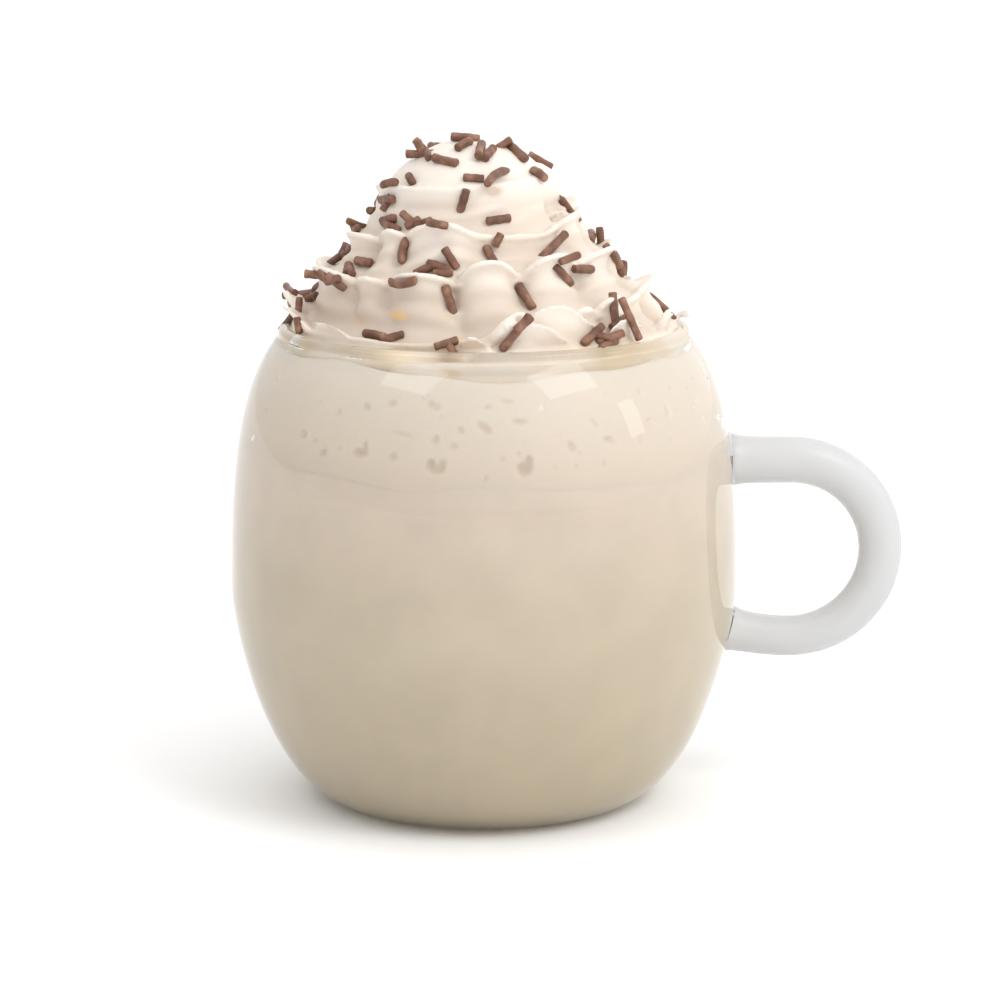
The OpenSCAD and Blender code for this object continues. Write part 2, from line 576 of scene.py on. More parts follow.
# How much of a bubble's depth is cut into the froth, and the depth at which its painted shade is full
BUBBLE_CUT = 0.6
BUBBLE_SHADE_FULL = 0.9


def wavy_level(angle):
    """Height of the froth's underside round the mug."""
    return FROTH_Z + waves(angle, (0.9, 2, 0.7), (0.6, 5, 2.1), (0.35, 11, 0))


def filling(low, high, rows, sides, outside_above):
    """Radii and heights against the glass between two levels, which may differ round the mug.
    Drink and froth pass each other at the wavy level with hardly a step, so that it shows no edge."""
    angle = angles(sides)
    share = np.linspace(0, 1, rows)[:, None]
    height = low + (high - low) * share + 0 * angle
    swap = np.clip((height - wavy_level(angle)) / PASS_H, -1, 1) * (1 if outside_above else -1)
    return inner_radius(height) + INTO_GLASS + PASS_OUT * swap, height


def drink():
    """The liquid from the base to just over the froth's underside."""
    level = wavy_level(angles(DRINK_SIDES))
    curve = INNER[INNER[:, 1] < WAVY_FROM]
    radius = np.repeat(curve[:, [0]] + INTO_GLASS, DRINK_SIDES, 1)
    height = np.repeat(curve[:, [1]] - INTO_GLASS, DRINK_SIDES, 1)
    top_radius, top_height = filling(WAVY_FROM, level + OVERLAP, DRINK_ROWS, DRINK_SIDES, False)
    # The lid lies inside the froth
    lid = np.array([0.98, 0.8, 0.4])[:, None]
    radius = np.vstack([radius, top_radius, top_radius[-1] * lid])
    height = np.vstack([height, top_height, top_height[-1] + 0.2 + 0 * lid])
    piece = mesh_object("drink_body", *turned(radius, height, BASE_WALL - INTO_GLASS, FROTH_Z + 1))
    piece.data.materials.append(drink_material())
    return hand_over(piece, "drink", "drink")


def air_pockets():
    """Bubbles against the glass: side angle, height, half width, half height, tilt and depth."""
    # The large ones at the front, with 0 facing the camera and positive to the right. The largest
    # are uneven: each is two or three that run together
    front = [
        (-29.5, 72.7, 1.6, 0.8, 0, 0.7),
        (-28.6, 73.6, 0.5, 1.2, 0, 0.6),
        (-12.0, 71.2, 0.9, 1.2, 10, 0.9),
        (-9.7, 71.0, 0.8, 1.0, -10, 0.8),
        (-10.8, 70.6, 1.6, 0.7, 0, 0.8),
        (9.2, 70.8, 1.6, 1.3, 25, 1.0),
        (10.2, 72.0, 0.8, 1.1, -10, 0.9),
        (-40, 71.9, 0.8, 0.7, 0, 0.5),
        (-11.3, 75.6, 0.7, 0.8, 0, 0.5),
        (-5.5, 77.3, 0.9, 0.6, -40, 0.5),
        (0, 77.7, 1.7, 0.8, -38, 0.6),
        (8.5, 78.7, 1.6, 0.6, -5, 0.6),
        (5.5, 82.0, 1.3, 0.4, -10, 0.4),
        (0.9, 81.0, 0.8, 0.4, 0, 0.4),
        (20.6, 74.1, 1.2, 0.7, -58, 0.6),
        (30.3, 74.8, 1.3, 0.7, -15, 0.6),
        (27.1, 77.8, 1.3, 0.4, -45, 0.4),
        (21.1, 70.6, 0.4, 0.7, 0, 0.4),
        (28.4, 71.0, 0.5, 0.5, 0, 0.4),
        (50.5, 78.2, 0.8, 1.2, 0, 0.6),
        (0.4, 69.2, 0.5, 0.4, 0, 0.4),
        (-19.6, 76.4, 2.8, 0.35, -14, 0.3),
        (14.4, 81.0, 0.4, 0.7, 0, 0.4),
        (39.5, 74.5, 0.5, 1.2, 0, 0.4),
        (42.8, 82.3, 0.6, 0.6, 0, 0.4),
    ]
    # Small ones all round, then larger ones at the sides and the back
    around = []
    for _ in range(SMALL_BUBBLES):
        size = 0.25 + 0.5 * rng.random() ** 2
        height = FROTH_Z + 3 + 12 * rng.random()
        around.append((360 * rng.random(), height, size * 1.3, size, 60 * rng.random() - 30, size * 0.6))
    for _ in range(LARGE_BUBBLES):
        size = 0.7 + 0.8 * rng.random()
        away = 60 + 240 * rng.random()
        height = FROTH_Z + 2.5 + 9 * rng.random()
        around.append((away, height, size * 1.3, size * 0.8, 60 * rng.random() - 30, size * 0.5))
    return front + around


def froth():
    """The foam against the glass, with bubbles cut into it and a rippled top that clings to the wall."""
    angle = angles(FROTH_SIDES)
    cling = 1.3 + waves(angle, (0.7, 2, 1.1), (0.5, 5, 0), (0.3, 11, 2))
    low, high = wavy_level(angle) - OVERLAP, SURFACE_Z + cling
    radius, height = filling(low, high, FROTH_ROWS, FROTH_SIDES, True)
    depth = np.zeros_like(radius)
    for side, level, half_w, half_h, tilt, deep in air_pockets():
        across, up = angle_from(angle[None, :], side) * radius, height - level
        c, s = math.cos(math.radians(tilt)), math.sin(math.radians(tilt))
        far = ((across * c + up * s) / half_w) ** 2 + ((up * c - across * s) / half_h) ** 2
        depth = np.maximum(depth, deep * np.sqrt(np.clip(1 - far, 0, 1)))
    # Rings of the lid, as shares of the radius, and how far each has come down to the surface
    lid = np.array([0.985, 0.96, 0.93, 0.85, 0.6, 0.3])[:, None]
    sink = np.array([0.1, 0.6, 1, 1, 1, 1])[:, None]
    surface = SURFACE_Z - 0.3
    ripple = waves(angle, (0.25, 9, 1), (0.2, 23, 0))
    top = height[-1] + (surface + ripple * lid - height[-1]) * sink
    radius = np.vstack([radius[0] * lid[::-1], radius - BUBBLE_CUT * depth, radius[-1] * lid])
    height = np.vstack([height[0] + 0 * lid, height, top])
    flat = 0 * lid + 0 * angle
    # Painted shade in the bubbles, darker the deeper they are cut
    bubble_shade = np.clip(np.vstack([flat, depth, flat]).ravel() / BUBBLE_SHADE_FULL, 0, 1)
    piece = mesh_object("froth_body", *turned(radius, height, FROTH_Z, surface))
    point_value(piece, "bubble_shade", np.append(bubble_shade, [0, 0]))
    piece.data.materials.append(froth_material())
    return hand_over(piece, "froth", "froth")


# ---------------------------------------------------------------- whipped cream

# The rope: its lip's height and radius at the start, its rise and how much it draws in with each turn,
# where it starts and ends, in turns from the handle's side, and its points in a turn
START_Z = 91.4
START_R = 39.3
PITCH = 7.1
DRAW_IN = 6.1
FIRST_TURN = -0.75
LAST_TURN = 3.9
ROPE_STEPS = 330

# Ruffles: widths of the wide and the narrow ones, the share of narrow ones, how far they reach out and
# rise, and the width below which they reach and rise less
WIDE_RUFFLE = (11, 19)
NARROW_RUFFLE = (6, 10)
NARROW_SHARE = 0.4
RUFFLE_REACH = (2.6, 5.4)
RUFFLE_RISE = (1.6, 4.6)
FULL_RUFFLE = 12

# How far the lip draws back and sinks between ruffles
DRAW_BACK = 3.0
SINK_BACK = 2.2

# Depth of the cove under the lip, and of the ridges along the rope
COVE = 3.0
RIDGE = 0.38

# How far the swirl leans to the left, and the height above the lip over which it comes to do so
LEAN = 2.1
LEAN_H = 8

# Cream lower than this and this near the glass is pressed on it
PRESS_BELOW = LIP_Z - 1.6
PRESS_NEAR = 0.4

# How far the cream reaches below the froth's surface
SUNK = 0.6

# Thickness of a petal, the melted surface's grain, and how much it is smoothed
PETAL_THICK = 1.0
GRAIN = 0.5
SMOOTH_SHARE = 0.5
SMOOTH_TIMES = 2

# Petals of cream: side angle, height, radius, width, how tall, lean and curl
PETALS = [
    (14, 89.8, 33.8, 17, 6.0, 0.14, 1.6),
    (25, 91.5, 33.0, 18, 6.8, 0.12, 1.6),
    (-3, 89.6, 34.6, 8, 3.6, 0.12, 1.2),
    (-52, 90.2, 34.4, 14, 3.8, 0.2, 1.4),
    (48, 91, 34.4, 12, 4.0, 0.2, 1.4),
    (-75, 91, 34.8, 12, 4.2, 0.25, 1.6),
    (72, 91, 34.8, 11, 4.0, 0.25, 1.6),
    (120, 91, 34.6, 13, 4.4, 0.2, 1.4),
    (165, 91, 34.6, 12, 4.0, 0.2, 1.2),
    (215, 91, 34.6, 14, 4.4, 0.2, 1.4),
    (250, 91, 34.6, 11, 4.0, 0.2, 1.2),
]

# Blobs of cream on the glass: side angle, height, radius, width, depth and how tall
BLOBS = [
    (2, 86.0, 35.5, 11, 4, 2.2),
    (48, 86.2, 36.0, 9, 4, 3.0),
    (30, 85.6, 35.8, 7, 3.5, 1.6),
    (105, 86.0, 35.8, 14, 4, 2.4),
    (190, 86.0, 35.6, 16, 4, 2.0),
    (255, 86.2, 35.6, 12, 4, 2.6),
]

# Small places where yellow shows: side angle, height, half width, half height and strength
YELLOW_PLACES = [
    (-31, 95.4, 2.6, 1.1, 1.0),
    (-14, 95.2, 1.8, 0.7, 0.55),
    (-48, 93.8, 2.0, 0.9, 0.65),
    (-5, 91.6, 4.0, 0.8, 0.6),
    (-9, 86.4, 2.6, 0.8, 0.7),
    (50, 86.6, 2.2, 1.2, 0.6),
    (-40, 86.0, 2.2, 0.8, 0.5),
    (6, 116.8, 1.6, 0.9, 0.5),
    (140, 95.2, 2.4, 0.9, 0.6),
    (200, 94.6, 2.0, 0.8, 0.7),
    (120, 86.5, 3.0, 1.0, 0.6),
    (230, 86.5, 3.0, 1.0, 0.6),
]


def lip_height(turn):
    """Height of the rope's plain lip."""
    return START_Z + PITCH * turn


def lip_radius(turn):
    """Radius of the rope's plain lip."""
    return START_R - DRAW_IN * turn


def mound_radius(z):
    """Radius of the rope's plain lip at a height."""
    return START_R - DRAW_IN * (z - START_Z) / PITCH


def low_flat(turn):
    """1 where the rope's lip at the front left lies flat, just over the glass."""
    return smooth((turn - 0.50) / 0.08) * smooth((0.80 - turn) / 0.07)


def high_flat(turn):
    """1 where the rope's lip lies flat high up at the front right."""
    return smooth((turn - 2.72) / 0.05) * smooth((2.90 - turn) / 0.05)


def ruffle_plan():
    """Edges, reach and rise of the ruffles along the rope, in turns and millimetres."""
    edges, reach, rise = [FIRST_TURN - 0.1], [], []
    while edges[-1] < LAST_TURN + 0.2:
        width = rng.uniform(*WIDE_RUFFLE) if rng.random() > NARROW_SHARE else rng.uniform(*NARROW_RUFFLE)
        edges.append(edges[-1] + width / (TURN * max(lip_radius(edges[-1]), 8)))
        reach.append(rng.uniform(*RUFFLE_REACH) * min(1, width / FULL_RUFFLE))
        rise.append(rng.uniform(*RUFFLE_RISE) * min(1, width / FULL_RUFFLE))
    return np.array(edges), np.array(reach), np.array(rise)


def mouth_limit(z):
    """Widest that the cream may be at a height: just into the glass, and over the lip's bead."""
    bead = LIP_MID_R - np.sqrt(np.clip(LIP_R**2 - (z - LIP_Z) ** 2, 0, None)) + 0.05
    inside = np.where(z < LIP_Z, np.minimum(inner_radius(z) + 0.3, bead), bead)
    over = LIP_MID_R - 0.6 + 3.4 * smooth((z - MUG_H - 0.3) / 1.4)
    return np.where(z < MUG_H, np.minimum(inside, LIP_MID_R + 4), over)


def rope_lip(turn):
    """The rope's ruffled lip: its radius and height, how far a ruffle carries it out, and the crown,
    which is 1 at a ruffle's middle and 0 at its edges."""
    edges, reach, rise = ruffle_plan()
    index = np.clip(np.searchsorted(edges, turn) - 1, 0, len(reach) - 1)
    middle, half = (edges[index] + edges[index + 1]) / 2, (edges[index + 1] - edges[index]) / 2
    crown = 1 - np.abs((turn - middle) / half) ** 2.2
    # Ruffles are weaker in some stretches, at both ends of the rope and where it lies flat
    calm = 0.5 + 0.5 * np.sin(TURN * turn * 1.31 + 0.4)
    fade = smooth((LAST_TURN - 0.3 - turn) / 0.9) * smooth((turn + 0.12) / 0.22)
    flat_low, flat_high = low_flat(turn), high_flat(turn)
    strong = (0.6 + 0.4 * calm) * fade * (1 - flat_low) * (1 - flat_high)
    out = reach[index] * crown * strong
    up = rise[index] * crown * strong
    wander = waves(TURN * turn, (0.5, 2.3, 0), (0.35, 3.7, 1))
    lip_r = lip_radius(turn) + out - DRAW_BACK * strong + 0.5 * wander
    lip_z = lip_height(turn) + up - SINK_BACK * strong + 0.8 * wander
    # The start dips into the mouth, and the flat stretches lie lower
    lip_z = lip_z - 1.2 * smooth(-turn / 0.15) - 4.4 * flat_low - 2.0 * flat_high
    lip_r = lip_r - 0.8 * flat_high
    return lip_r, lip_z, out - DRAW_BACK * strong, crown


def rope():
    """The piped rope as a closed tube that climbs round the mound. Its lip is cut into ruffles."""
    turn = np.arange(FIRST_TURN, LAST_TURN, 1 / ROPE_STEPS)
    lip_r, lip_z, wave, crown = rope_lip(turn)
    plain_r = lip_radius(turn)
    # The face rises from behind the lip of the turn below
    back_r = lip_radius(turn - 1)
    back_z = lip_height(turn - 1) - 1.6 - 4.0 * low_flat(turn - 1)
    # The cove under the lip grows shallow towards the top
    deep = COVE * (0.25 + 0.75 * smooth((3.1 - turn) / 0.9))
    thin = 0.55 + 0.25 * (1 - crown)
    cove = np.array(
        [
            [back_r - 2.0, back_z - 1.2],
            [plain_r + 2.0 + 0.1 * wave, back_z + 0.4],
            [plain_r - deep + 0.5 * wave, lip_z - 3.4],
            [lip_r - thin, lip_z - 1.1],
        ]
    ).transpose(0, 2, 1)
    share = np.linspace(0, 1, 16)
    face = bezier(cove[:, :, None], share)
    # Fine ridges along the rope, from the teeth of the piping nozzle
    t = share[None, :, None]
    drift = 0.6 * np.sin(TURN * turn * 1.7)[:, None, None]
    face[..., :1] += RIDGE * (np.sin(TURN * (3.2 * t + drift)) * np.sin(math.pi * t))
    # The rounded lip
    roll = np.linspace(-0.9, 2.5, 8)[None, :, None]
    edge = np.stack([lip_r - thin, lip_z - 0.55], 1)[:, None]
    lip = edge + thin[:, None, None] * np.concatenate([np.cos(roll), np.sin(roll)], 2)
    # Back over the top of the lip and down inside the mound
    core = np.maximum(plain_r - 13, 0.4)
    inside = np.stack(
        [
            np.stack([lip_r - 3.2, lip_z - 1.6], 1),
            np.stack([np.maximum(plain_r - 7, 0.6), lip_z - 1.0], 1),
            np.stack([core, lip_z - 1.0], 1),
            np.stack([core, back_z - 3], 1),
            np.stack([np.maximum(back_r - 4, 0.8), back_z - 3], 1),
        ],
        1,
    )
    section = np.concatenate([face, lip, inside], 1)
    section[..., 1] = np.maximum(section[..., 1], SURFACE_Z - SUNK)
    section[..., 0] = np.minimum(section[..., 0], mouth_limit(section[..., 1]))
    angle = (TURN * turn)[:, None]
    points = np.stack([section[..., 0] * np.cos(angle), section[..., 0] * np.sin(angle), section[..., 1]], -1)
    ends = [points[0].mean(0), points[-1].mean(0)]
    return np.vstack([points.reshape(-1, 3), ends]), closed_tube(*section.shape[:2])


def mound():
    """The cream under the rope, and the soft peak that stands out of its last turn."""
    angle = angles(120)
    # Its radius at heights above the froth
    above = [-SUNK, 5.4, 8, 14, 20, 24, 26, 28, 30, 32, 33.5, 35, 36.5, 38, 39, 39.6, 39.9]
    wide = [34, 34, 30, 24, 17.5, 16, 16.6, 17.0, 16.8, 16.1, 15.0, 13.2, 11.1, 8.6, 6.3, 4.0, 1.8]
    levels = (SURFACE_Z + np.append(np.linspace(-SUNK, 38.5, 90), np.linspace(38.8, 39.9, 6)))[:, None]
    radius = np.interp(levels, SURFACE_Z + np.array(above), wide)
    # The rope's last turns still show on the peak as soft folds
    share = (levels - START_Z) / PITCH - angle / TURN
    fold = 2.2 * ((share - np.floor(share)) ** 1.5 - 0.5) * smooth((SURFACE_Z + 39 - levels) / 7)
    swirl = 0.4 * np.sin(2 * angle + levels * 0.5) + 0.25 * np.sin(5 * angle - levels * 0.6)
    radius = radius * (1 + 0.03 * swirl) + fold
    # Just above the froth the cream is pressed on the glass here and stands back from it there
    back = 0.9 + waves(angle, (1.6, 3, 0.9), (1.1, 7, 2.0), (0.7, 13, 0))
    clear = inner_radius(levels) + 0.5 - np.clip(back, 0, 3.5)
    radius = np.where(levels < MUG_H - 0.1, np.minimum(mouth_limit(levels), clear), radius)
    return turned(radius, levels + 0 * angle, SURFACE_Z - SUNK, CREAM_TOP)


def petal(side, base_z, base_r, width, tall, lean, curl):
    """A thin curved flap of cream. side is its angle from the front, to the right."""
    s = np.linspace(-1, 1, 15)[:, None]
    v = np.linspace(0, 1, 9)[None, :]
    top = (1 - s**2) * tall
    z = base_z + v * top
    r = base_r + lean * v * top + curl * v**3 - 0.9 * s**2 * width / 12
    turn = math.radians(side - 90) + s * width / 2 / base_r + 0 * v
    body = PETAL_THICK * (1 - 0.45 * v) / 2 * (1 - 0.5 * np.abs(s) ** 3)
    sheets = [np.stack([(r + d) * np.cos(turn), (r + d) * np.sin(turn), z], -1) for d in (body, -body)]
    rows, cols = z.shape
    points = np.vstack([sheet.reshape(-1, 3) for sheet in sheets])
    back = rows * cols
    faces = []
    for i in range(rows - 1):
        for j in range(cols - 1):
            a = i * cols + j
            quad = [a, a + 1, a + cols + 1, a + cols]
            faces.append(quad)
            faces.append([back + k for k in quad[::-1]])
    rim = [i * cols for i in range(rows)] + [(rows - 1) * cols + j for j in range(1, cols)]
    rim += [i * cols + cols - 1 for i in range(rows - 2, -1, -1)] + list(range(cols - 2, 0, -1))
    for a, b in zip(rim, rim[1:] + rim[:1]):
        faces.append([a, b, back + b, back + a])
    return points, faces


def blob(side, z, r, wide, deep, tall):
    """A flattened ball of cream pressed against the glass."""
    level = np.linspace(-0.96, 0.96, 9)
    angle = angles(20)
    ring = np.sqrt(1 - level**2)[:, None]
    across, out = wide * ring * np.cos(angle), deep * ring * np.sin(angle)
    middle = math.radians(side - 90)
    turn = middle + across / r
    height = z + tall * level[:, None] + 0 * out
    radius = np.minimum(r + out, mouth_limit(height))
    points = np.stack([radius * np.cos(turn), radius * np.sin(turn), height], -1)
    poles = [[r * math.cos(middle), r * math.sin(middle), z + end * tall] for end in (-1, 1)]
    return np.vstack([points.reshape(-1, 3), poles]), closed_tube(*height.shape)


def gather(parts):
    """Several (points, faces) as one."""
    points, faces, start = [], [], 0
    for some, those in parts:
        points.append(some)
        faces += [[start + k for k in face] for face in those]
        start += len(some)
    return np.vstack(points), faces


def keep_largest(thing):
    """Deletes the crumbs that the remesh leaves apart from the main surface."""
    bm = bmesh.new()
    bm.from_mesh(thing.data)
    bm.verts.ensure_lookup_table()
    seen = np.zeros(len(bm.verts), bool)
    islands = []
    for start in bm.verts:
        if seen[start.index]:
            continue
        seen[start.index] = True
        island = [start]
        for vert in island:
            for edge in vert.link_edges:
                other = edge.other_vert(vert)
                if not seen[other.index]:
                    seen[other.index] = True
                    island.append(other)
        islands.append(island)
    islands.sort(key=len)
    for island in islands[:-1]:
        bmesh.ops.delete(bm, geom=island, context="VERTS")
    bm.to_mesh(thing.data)
    bm.free()
    thing.data.shade_smooth()


def pressed_and_leaning(points):
    """Moves the melted cream's points: near the glass just into it, and over the lip to the left.
    Returns how far from the axis each stood before."""
    z = points[:, 2]
    r = np.hypot(points[:, 0], points[:, 1])
    pressed = (z < PRESS_BELOW) & (r > inner_radius(z) - PRESS_NEAR)
    points[pressed, :2] *= ((inner_radius(z) + INTO_GLASS) / np.maximum(r, 1))[pressed, None]
    points[:, 0] -= LEAN * smooth((z - MUG_H) / LEAN_H)
    return r


def hollowness(points, r):
    """How deep each point lies behind the lips, from 0 to 0.4, by which the material paints shade, and up to
    1 in the yellow places.
    """
    z = points[:, 2]
    behind = np.clip(mound_radius(z), 8, START_R) - r
    hollow = 0.4 * smooth((behind - 1.0) / 5.0) * smooth((CREAM_TOP - 5 - z) / 8)
    around = np.arctan2(points[:, 1], points[:, 0])
    for side, level, half_w, half_h, strength in YELLOW_PLACES:
        across = angle_from(around, side) * r / half_w
        spot = smooth((1.7 - np.hypot(across, (z - level) / half_h)) / 1.4)
        hollow = np.maximum(hollow, strength * spot)
    return hollow


def cream():
    """Rope, mound, petals and blobs melted into one surface."""
    petals = [petal(*sizes) for sizes in PETALS]
    blobs = [blob(*sizes) for sizes in BLOBS]
    piece = mesh_object("cream_swirl", *gather([rope(), mound(), *petals, *blobs]))
    melt = piece.modifiers.new("melt", "REMESH")
    melt.mode = "VOXEL"
    melt.voxel_size = GRAIN * MM
    soften = piece.modifiers.new("soften", "SMOOTH")
    soften.factor = SMOOTH_SHARE
    soften.iterations = SMOOTH_TIMES
    keep_largest(applied(piece))
    points = coordinates(piece)
    r = pressed_and_leaning(points)
    set_coordinates(piece, points)
    point_value(piece, "hollow", hollowness(points, r))
    piece.data.materials.clear()
    piece.data.materials.append(cream_material())
    return hand_over(piece, "cream", "cream")


# ---------------------------------------------------------------- sprinkles

# A strand's radius, the points round it, and how many strands lie at the back
SPRINKLE_R = 0.77
STRAND_SIDES = 10
BACK_COUNT = 100

# How far a strand's middle lies over the cream, as a share of its radius, and how far it may tip
LIES_OVER = 0.6
TIP = 0.12


def strand(length, bend, radius, twist):
    """A bent rod with blunt ends along X, centred on the origin."""
    # Rings near an end: their distances from it in mm and how wide they are
    from_end, width = np.array([0.0, 0.07, 0.2, 0.42]), np.array([0.74, 0.9, 0.98, 1.0])
    near = 1 - 2 * from_end / length
    s = np.concatenate([-near, near[-1] * np.linspace(-0.7, 0.7, 5), near[::-1]])
    body = np.concatenate([width, np.ones(5), width[::-1]])
    lumps = 1 + 0.05 * np.sin(s * 7 + twist * 5)
    x = s * length / 2
    z = bend * (1 - s**2)
    angle = angles(STRAND_SIDES)
    rings = radius * (body * lumps)[:, None]
    ring_x = x[:, None] + 0 * angle
    points = np.stack([ring_x, rings * np.cos(angle), z[:, None] + rings * np.sin(angle)], -1)
    ends = [[x[0] - 0.05, 0, z[0]], [x[-1] + 0.05, 0, z[-1]]]
    return np.vstack([points.reshape(-1, 3), ends]), closed_tube(len(s), STRAND_SIDES)


def at_the_front():
    """Strands that the camera sees, in millimetres on the upright plane through the mug's middle:
    across, up, tilt in degrees, length and bend."""
    alone = [
        (-3.4, 124.6, -8, 5.4, 0.1),
        (-0.7, 122.4, 78, 6.4, 0.2),
        (3.3, 123.4, 35, 4.0, 0.0),
        (0.9, 121.9, 55, 5.0, 0.0),
        (5.9, 122.2, -45, 6.2, 0.0),
        (2.5, 117.2, 32, 9.4, 1.0),
        (-1.9, 117.4, -5, 3.8, 0.0),
        (-3.8, 113.5, 74, 4.4, 0.0),
        (10.1, 117.9, -35, 4.2, 0.3),
        (-11.0, 109.2, 20, 3.6, 0.2),
        (-8.6, 109.0, -10, 4.0, 0.2),
        (-13.0, 109.3, 30, 3.2, 0.0),
        (-25.2, 106.3, 86, 7.2, 0.2),
        (-14.4, 104.0, 82, 5.2, 0.4),
        (-6.2, 102.7, -58, 4.4, 0.0),
        (1.2, 102.8, -60, 4.4, 0.0),
        (2.7, 109.6, 10, 4.6, 0.0),
        (2.5, 106.3, 60, 2.6, 0.0),
        (12.6, 104.8, 46, 8.6, 0.2),
        (15.8, 102.8, 22, 4.4, 0.0),
        (18.3, 100.9, -4, 5.2, 0.0),
        (14.5, 99.4, -48, 5.4, 0.2),
        (-25.2, 100.3, 80, 3.6, 0.0),
        (-31.1, 99.9, -6, 4.2, 0.0),
        (-28.0, 98.8, 20, 4.0, 0.0),
        (-22.2, 101.9, -10, 3.6, 0.0),
        (-15.0, 98.8, 2, 5.4, 0.7),
        (-10.8, 100.2, 25, 4.4, 0.2),
        (-8.4, 100.9, -20, 4.6, 0.4),
        (-7.6, 99.6, 5, 3.6, 0.0),
        (-6.6, 94.7, -74, 5.6, 0.0),
        (8.0, 95.3, -58, 5.6, 0.0),
        (5.9, 88.9, 48, 8.2, 0.0),
        (7.4, 90.4, 40, 4.0, 0.0),
        (24.1, 93.0, -86, 6.2, 0.0),
        (27.3, 91.2, -66, 8.4, 0.0),
        (-20.3, 87.8, -12, 5.0, 0.2),
        (-17.0, 87.5, 18, 4.4, 0.0),
        (-7.0, 86.4, 15, 4.4, 0.0),
        (-6.0, 85.6, -60, 3.2, 0.0),
        (-34.9, 93.0, 86, 4.0, 0.0),
        (-34.4, 90.0, -80, 3.2, 0.0),
        (-31.8, 95.1, 30, 3.0, 0.0),
        (36.0, 92.0, 60, 3.0, 0.0),
    ]
    # Heaps: across, up, how many strands, and how widely they scatter across and up
    heaps = [
        (-10.4, 120.8, 9, 3.0, 1.9),
        (-17.2, 112.0, 7, 1.4, 1.9),
        (19.0, 110.4, 6, 1.5, 2.2),
        (26.2, 103.0, 6, 2.4, 1.6),
        (-27.0, 99.8, 4, 2.4, 1.0),
        (23.0, 88.6, 6, 3.0, 0.8),
    ]
    for across, up, count, wide, tall in heaps:
        for _ in range(count):
            place = across + rng.normal(0, wide), up + rng.normal(0, tall)
            alone.append((*place, rng.uniform(-80, 80), rng.uniform(3.0, 5.8), rng.uniform(-0.2, 0.3)))
    return alone


def round_the_back():
    """Strands on the side that the camera doesn't see: side angle, height, tilt, length and bend."""
    found = []
    for _ in range(BACK_COUNT):
        z = 93 + 30 * rng.random() ** 1.2
        edge = 92 + 22 * smooth((z - 108) / 8)
        side, tilt = rng.uniform(edge, 360 - edge), rng.uniform(-90, 90)
        found.append((side, z, tilt, rng.uniform(3, 8), rng.uniform(-0.3, 0.5)))
    return found


def laid(tree, eye, towards, across, up, tilt, length, bend):
    """A strand on the cream where the line from eye towards a point meets it, or None.
    Seen along that line it is tilted from the direction across towards the direction up."""
    sight = (towards - eye).normalized()
    place, normal, _, _ = tree.ray_cast(eye, sight)
    if place is None:
        return None
    turn = math.radians(tilt)
    along = across * math.cos(turn) + up * math.sin(turn)
    # It is slid along the line of sight into the surface, unless that is seen nearly edge on
    facing = sight.dot(normal)
    if abs(facing) > 0.3:
        along = along - sight * (along.dot(normal) / facing)
    along = (along.normalized() + normal * rng.uniform(-TIP, TIP)).normalized()
    aside = normal.cross(along).normalized()
    above = along.cross(aside)
    radius = SPRINKLE_R * rng.uniform(0.9, 1.1)
    points, faces = strand(length, bend, radius, rng.random())
    base = np.array(place) / MM + np.array(normal) * radius * LIES_OVER
    return base + points @ np.array([along, aside, above]), faces


def sprinkles(swirl):
    """Chocolate strands lying on the cream, each a little sunk."""
    mesh = swirl.data
    tree = BVHTree.FromPolygons([v.co[:] for v in mesh.vertices], [p.vertices[:] for p in mesh.polygons])
    right, upright = Vector((1, 0, 0)), Vector((0, 0, 1))
    lift = Vector((0, math.sin(CAMERA_LIFT), math.cos(CAMERA_LIFT)))
    parts = []
    for across, up, tilt, length, bend in at_the_front():
        aim = Vector((across, 0, up)) * MM
        parts.append(laid(tree, camera_place(), aim, right, lift, tilt, length, bend))
    # Those at the back drop onto the cream from outside and above
    drop = 0.03
    for side, z, tilt, length, bend in round_the_back():
        a = math.radians(side - 90)
        outward, flat = Vector((math.cos(a), math.sin(a), 0)), Vector((-math.sin(a), math.cos(a), 0))
        aim = Vector((0, 0, z * MM)) + outward * mound_radius(z) * MM
        parts.append(laid(tree, aim + (outward + upright) * drop, aim, flat, upright, tilt, length, bend))
    piece = mesh_object("chocolate_sprinkles", *gather([part for part in parts if part]))
    piece.data.materials.append(sprinkle_material())
    return hand_over(piece, "sprinkles")


# ---------------------------------------------------------------- stage, light and camera


# Half the table's width, in metres
FLOOR_HALF = 40.0

# What the lights aim at, in metres: the mug's middle and its mouth
MIDDLE = (0, 0, 0.07)
MOUTH = (0, 0, 0.085)

# The studio is brightest in this direction. Its brightness runs from the dimmest to the brightest
# between two values of the cosine of the angle from there
BRIGHTEST = (0.62, 0.25, 0.75)
STUDIO_SPAN = {"From Min": -0.75, "From Max": 0.7, "To Min": 0.5, "To Max": 1.23}


def floor():
    """A pale table top."""
    mesh = bpy.data.meshes.new("floor")
    corners = [(x * FLOOR_HALF, y * FLOOR_HALF, 0) for x, y in ((-1, -1), (1, -1), (1, 1), (-1, 1))]
    mesh.from_pydata(corners, [], [(0, 1, 2, 3)])
    plane = bpy.data.objects.new("floor", mesh)
    bpy.context.scene.collection.objects.link(plane)
    shader = Shader("pale_floor", Base_Color=(0.95, 0.95, 0.95, 1), Roughness=0.8)
    mesh.materials.append(shader.material)


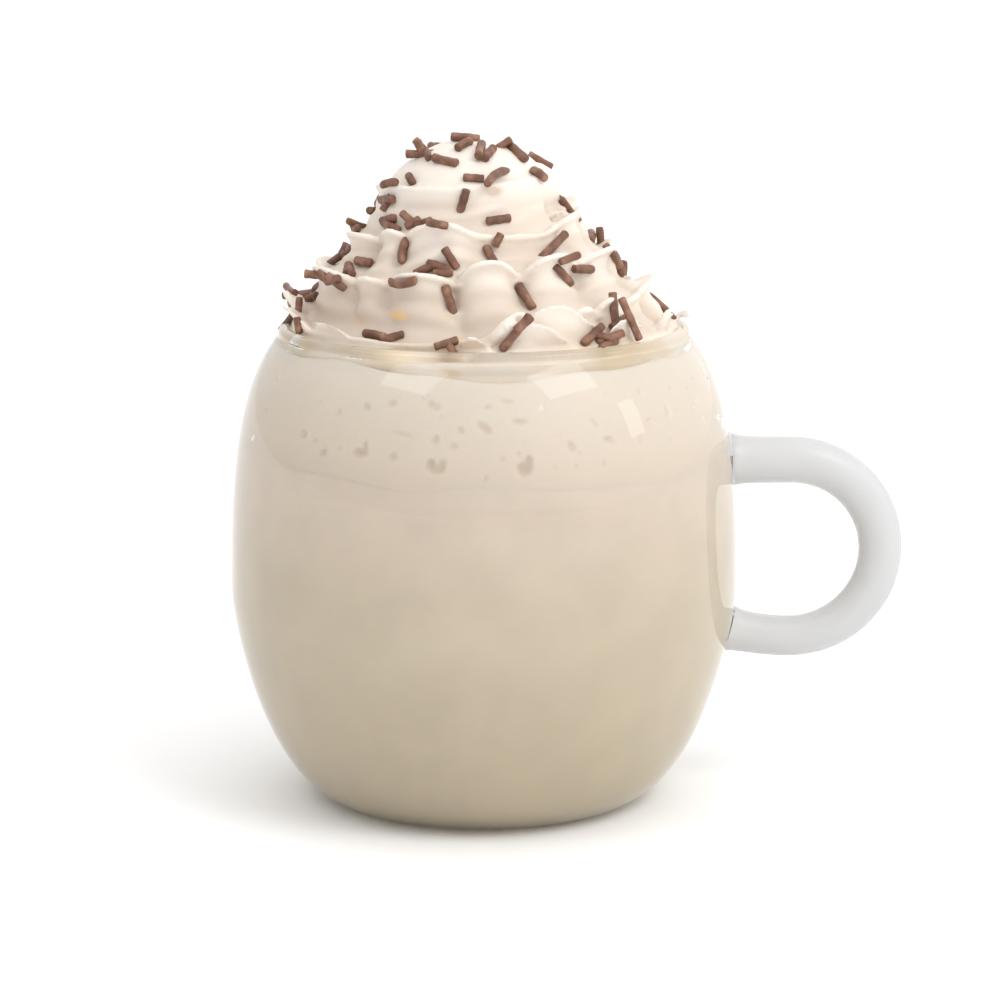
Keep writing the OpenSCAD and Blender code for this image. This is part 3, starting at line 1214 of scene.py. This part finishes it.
def light(name, place, aim, wide, tall, watts):
    """A soft box of a size in metres, aimed at a point."""
    data = bpy.data.lights.new(name, "AREA")
    data.energy = watts
    data.shape = "RECTANGLE"
    data.size = wide
    data.size_y = tall
    lamp = bpy.data.objects.new(name, data)
    lamp.location = place
    lamp.rotation_euler = (Vector(aim) - Vector(place)).to_track_quat("-Z", "Y").to_euler()
    bpy.context.scene.collection.objects.link(lamp)
    return lamp


def studio():
    """White all round: brightest above, to the right and behind, and dimmest low on the front left.
    Two windows hang in front, above, and a strip on the right. They show as soft glare on the glass."""
    world = bpy.data.worlds.new("studio")
    world.use_nodes = True
    tree = world.node_tree
    place = tree.nodes.new("ShaderNodeTexCoord")
    towards = tree.nodes.new("ShaderNodeVectorMath")
    towards.operation = "DOT_PRODUCT"
    towards.inputs[1].default_value = Vector(BRIGHTEST).normalized()
    tree.links.new(place.outputs["Generated"], towards.inputs[0])
    span = tree.nodes.new("ShaderNodeMapRange")
    span.interpolation_type = "SMOOTHSTEP"
    for key, value in STUDIO_SPAN.items():
        span.inputs[key].default_value = value
    tree.links.new(towards.outputs["Value"], span.inputs["Value"])
    tree.links.new(span.outputs["Result"], tree.nodes["Background"].inputs["Strength"])
    tree.nodes["Background"].inputs["Color"].default_value = (1, 1, 1, 1)
    bpy.context.scene.world = world
    key = light("key", (0.72, -0.72, 0.95), MIDDLE, wide=0.6, tall=0.6, watts=5)
    key.visible_glossy = False
    light("left_window", (-0.50, -0.44, 0.92), MOUTH, wide=0.44, tall=0.36, watts=1.0)
    light("right_window", (0.58, -0.44, 0.90), MOUTH, wide=0.48, tall=0.36, watts=1.2)
    light("strip", (0.95, -0.22, 0.42), MIDDLE, wide=0.16, tall=0.26, watts=0.25)
    bpy.context.scene.view_settings.view_transform = "Standard"


def camera():
    """A long lens a little above the mug, at the photograph's viewing angle."""
    data = bpy.data.cameras.new("camera")
    data.sensor_width = 36
    data.lens = CAMERA_LENS
    data.shift_x = CAMERA_SHIFT
    eye = bpy.data.objects.new("camera", data)
    eye.location = camera_place()
    eye.rotation_euler = (math.pi / 2 - CAMERA_LIFT, 0, 0)
    bpy.context.scene.collection.objects.link(eye)
    bpy.context.scene.camera = eye


camera()
studio()
floor()
mug()
drink()
froth()
swirl = cream()
sprinkles(swirl)
